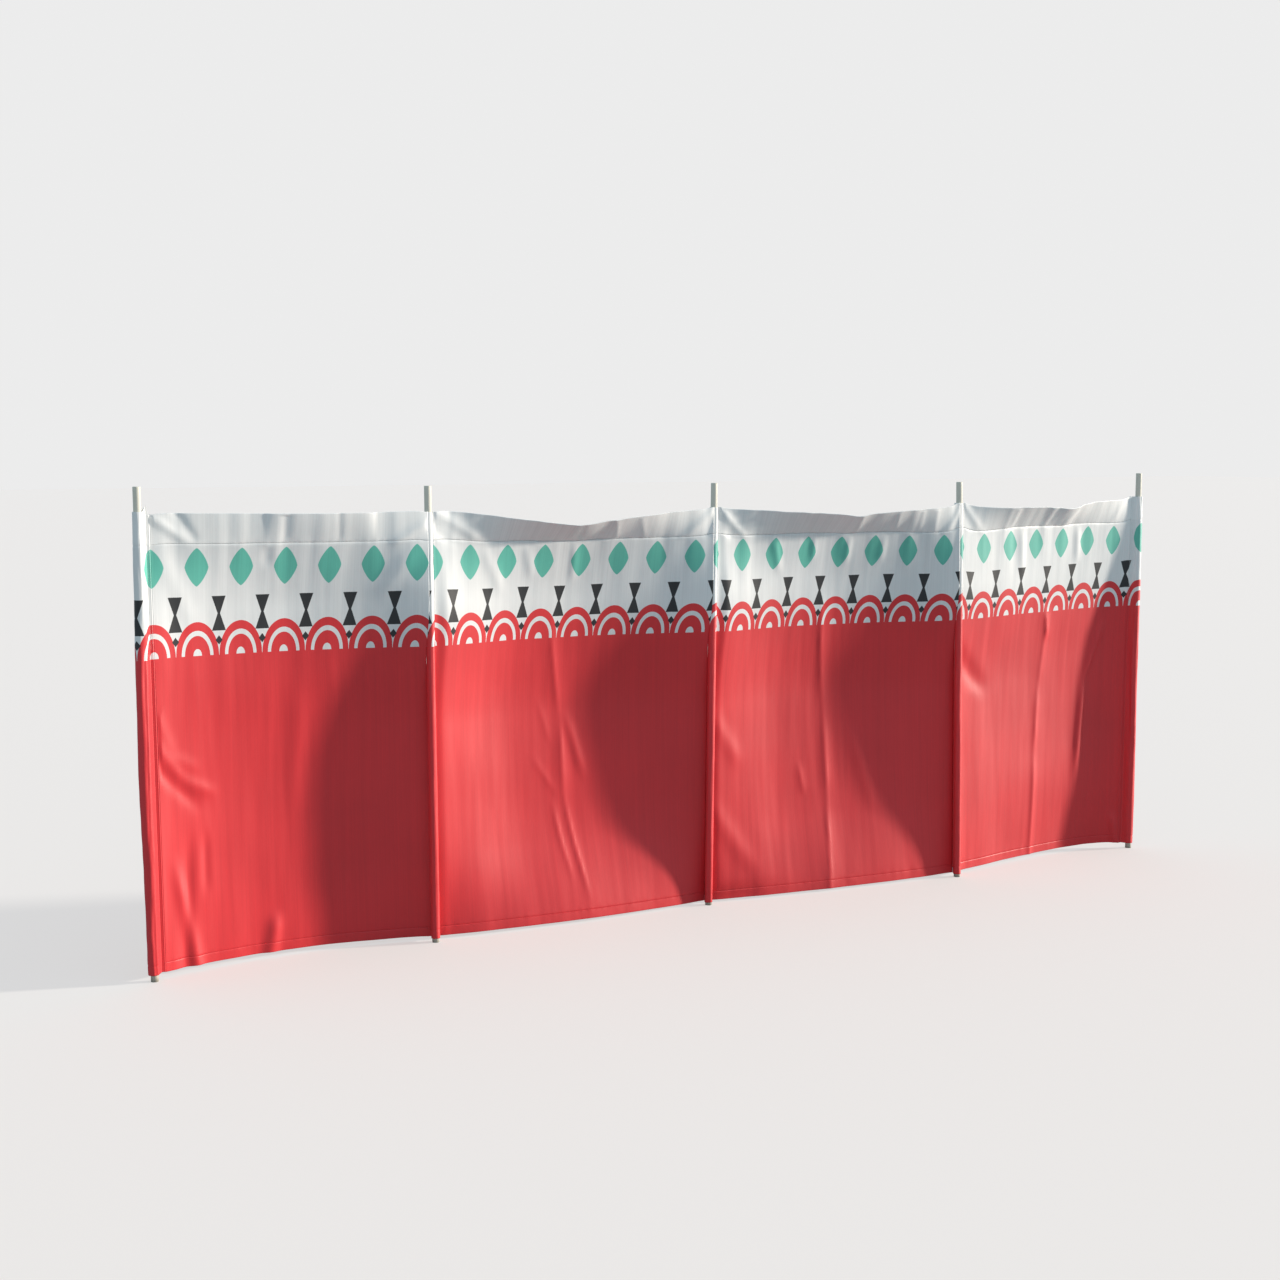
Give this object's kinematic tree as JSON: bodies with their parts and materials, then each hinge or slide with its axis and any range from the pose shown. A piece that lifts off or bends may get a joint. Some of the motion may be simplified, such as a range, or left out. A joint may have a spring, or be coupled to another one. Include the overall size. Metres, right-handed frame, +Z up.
{
  "type": "beach windbreak",
  "caption": "Freestanding beach windbreak of printed cloth bays carried in sewn sleeves by round wooden poles planted in the ground.",
  "frame": {"origin": "centre of the middle pole's foot, at ground level", "axes": "+X along the windbreak, from its left pole to its right one as seen from the printed front, which faces -Y; +Z up along the poles"},
  "size_m": [3.3937, 0.1688, 1.297],
  "materials": {
    "pole_wood": "satin",
    "printed_cloth": "matte",
    "hem_cloth": "matte"
  },
  "bodies": {
    "root": {"pole_1": "pole_wood", "pole_2": "pole_wood", "pole_3": "pole_wood", "pole_4": "pole_wood", "pole_5": "pole_wood", "pole_sleeve_1": "printed_cloth", "pole_sleeve_2": "printed_cloth", "pole_sleeve_3": "printed_cloth", "pole_sleeve_4": "printed_cloth", "pole_sleeve_5": "printed_cloth", "cloth_bay_1": "printed_cloth", "cloth_bay_2": "printed_cloth", "cloth_bay_3": "printed_cloth", "cloth_bay_4": "printed_cloth", "top_hem_1": "hem_cloth", "top_hem_2": "hem_cloth", "top_hem_3": "hem_cloth", "top_hem_4": "hem_cloth", "bottom_hem_1": "printed_cloth", "bottom_hem_2": "printed_cloth", "bottom_hem_3": "printed_cloth", "bottom_hem_4": "printed_cloth"}
  },
  "joints": []
}
